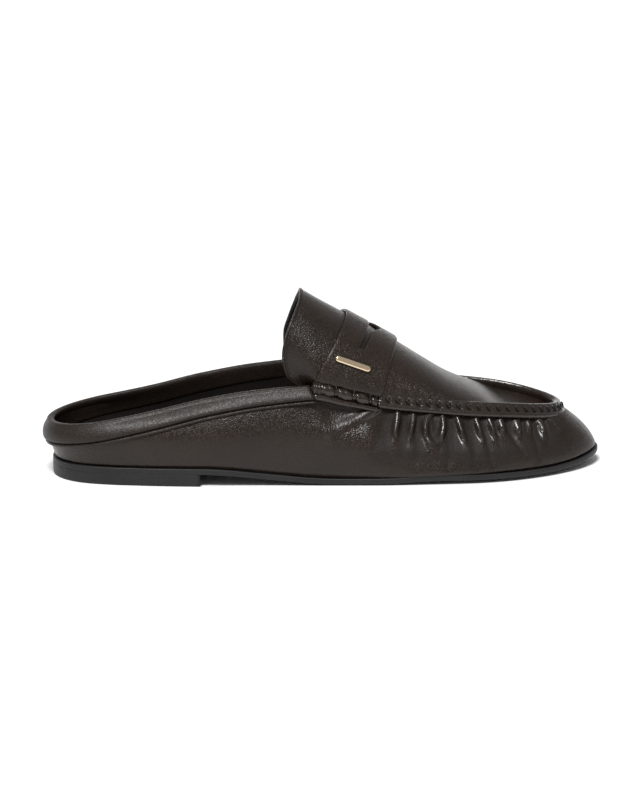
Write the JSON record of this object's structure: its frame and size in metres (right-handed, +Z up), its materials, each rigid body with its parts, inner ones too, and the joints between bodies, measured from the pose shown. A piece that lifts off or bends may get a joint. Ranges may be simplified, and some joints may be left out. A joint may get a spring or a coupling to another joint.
{
  "type": "loafer mule",
  "caption": "Backless slip-on loafer: moccasin front with raised apron seam and gathered wall, slotted saddle strap with a plain bar, low rolled collar, thin sole with low heel.",
  "frame": {"origin": "on the floor, under the middle of the heel block", "axes": "+X to the toe, +Y to the inner side of the foot, +Z up from the floor"},
  "size_m": [0.255, 0.0822, 0.0832],
  "materials": {
    "upper_leather": "dark brown, fine grain, soft gloss",
    "collar_leather": "dark brown, fine grain, soft gloss",
    "strap_leather": "dark brown, fine grain, soft gloss",
    "seam_leather": "dark brown, soft gloss",
    "roll_leather": "dark brown, soft gloss",
    "lining": "near-black brown, matt",
    "sole": "bluish black edge, satin",
    "heel_block": "black, satin",
    "trim_metal": "pale gold, polished"
  },
  "bodies": {
    "root": {"upper": "upper_leather", "collar": "collar_leather", "strap": "strap_leather", "apron_seam": "seam_leather", "roll_outer": "roll_leather", "roll_inner": "roll_leather", "insole": "lining", "outsole": "sole", "heel": "heel_block", "bar": "trim_metal"}
  },
  "joints": []
}
